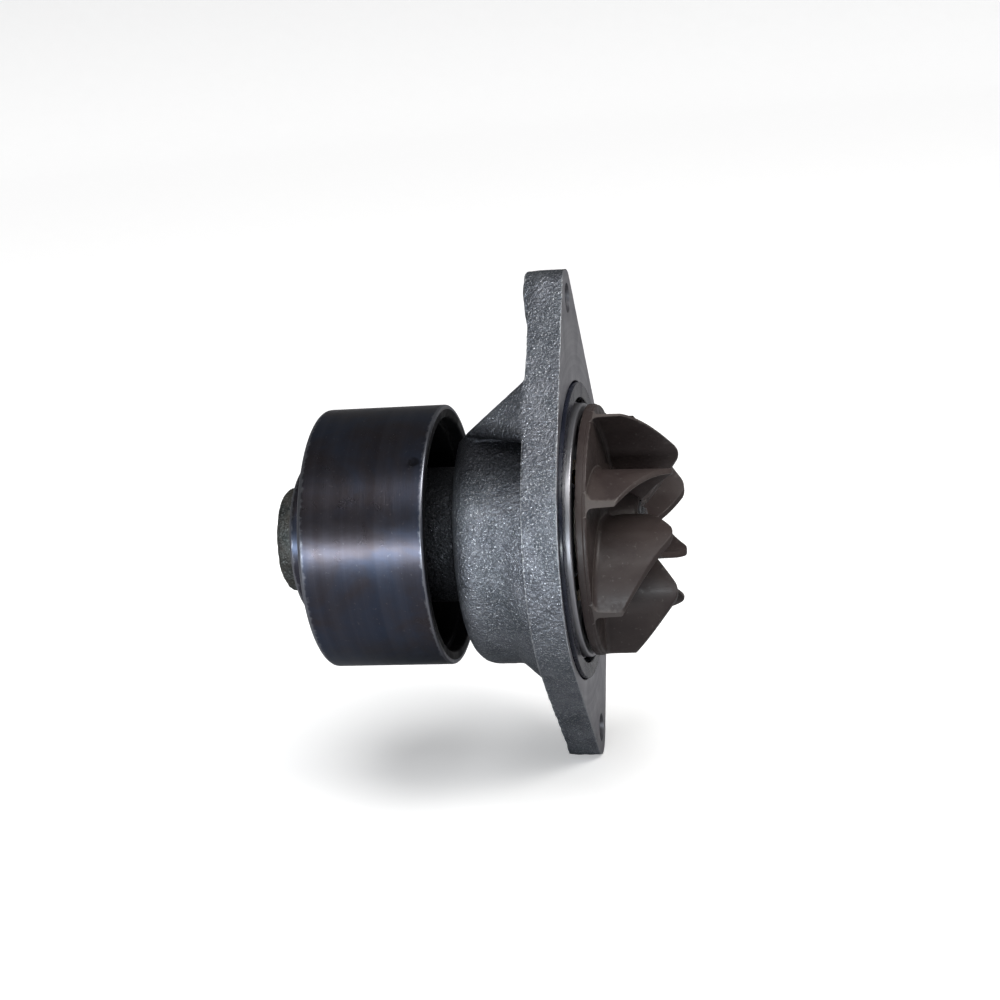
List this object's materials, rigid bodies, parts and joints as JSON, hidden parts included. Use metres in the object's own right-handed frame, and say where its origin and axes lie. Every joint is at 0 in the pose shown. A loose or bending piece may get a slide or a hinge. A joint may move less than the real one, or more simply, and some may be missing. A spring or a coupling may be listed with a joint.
{
  "type": "water pump",
  "caption": "Engine coolant pump: cast two-ear flange and drum, smooth cup-shaped belt pulley on one end of the shaft, curved-vane moulded impeller on the other.",
  "frame": {"origin": "on the shaft axis, in the plane of the machined flange face", "axes": "+X along the shaft out of the flange face toward the impeller, +Z along the line of the two bolt holes toward the ear with the gusset, +Y by the right-hand rule"},
  "size_m": [0.1161, 0.097, 0.1481],
  "materials": {
    "housing": "sand-cast, dark grey",
    "seal_rubber": "satin",
    "filter_foam": "porous",
    "bearing_steel": "ground",
    "bearing_rubber": "satin",
    "seal_brass": "pressed",
    "bellows_rubber": "matte",
    "spring_steel": "drawn wire",
    "carbon": "lapped carbon",
    "shaft_steel": "ground",
    "pulley_steel": "turned, darkened",
    "impeller_plastic": "moulded, brown",
    "insert_steel": "turned",
    "slinger_steel": "pressed",
    "ceramic_white": "lapped",
    "ball_steel": "polished",
    "cage_nylon": "moulded"
  },
  "bodies": {
    "housing": {"housing": "housing", "flange_seal_ring": "seal_rubber", "weep_filter": "filter_foam", "bearing_outer_sleeve": "bearing_steel", "bearing_seal_front": "bearing_rubber", "bearing_seal_rear": "bearing_rubber", "seal_case": "seal_brass", "seal_bellows": "bellows_rubber", "seal_spring": "spring_steel", "spring_seat": "spring_steel", "bellows_band": "seal_brass", "carbon_ring": "carbon"},
    "rotor": {"shaft": "shaft_steel", "pulley": "pulley_steel", "impeller": "impeller_plastic", "impeller_insert": "insert_steel", "slinger": "slinger_steel", "mating_ring": "ceramic_white", "mating_ring_cup": "bellows_rubber"},
    "ball_row": {"bearing_balls": "ball_steel", "ball_cage": "cage_nylon"},
    "roller_row": {"bearing_rollers": "ball_steel", "roller_cage": "cage_nylon"}
  },
  "joints": [
    {"name": "rotor_spin", "type": "hinge", "parent": "housing", "child": "rotor", "pos_m": [0, 0, 0], "axis": [1, 0, 0], "continuous": true},
    {"name": "ball_row_spin", "type": "hinge", "parent": "housing", "child": "ball_row", "pos_m": [0, 0, 0], "axis": [1, 0, 0], "continuous": true},
    {"name": "roller_row_spin", "type": "hinge", "parent": "housing", "child": "roller_row", "pos_m": [0, 0, 0], "axis": [1, 0, 0], "continuous": true}
  ],
  "couplings": [
    {"joint": "ball_row_spin", "follows": "rotor_spin", "ratio": 0.35222},
    {"joint": "roller_row_spin", "follows": "rotor_spin", "ratio": 0.38107}
  ]
}
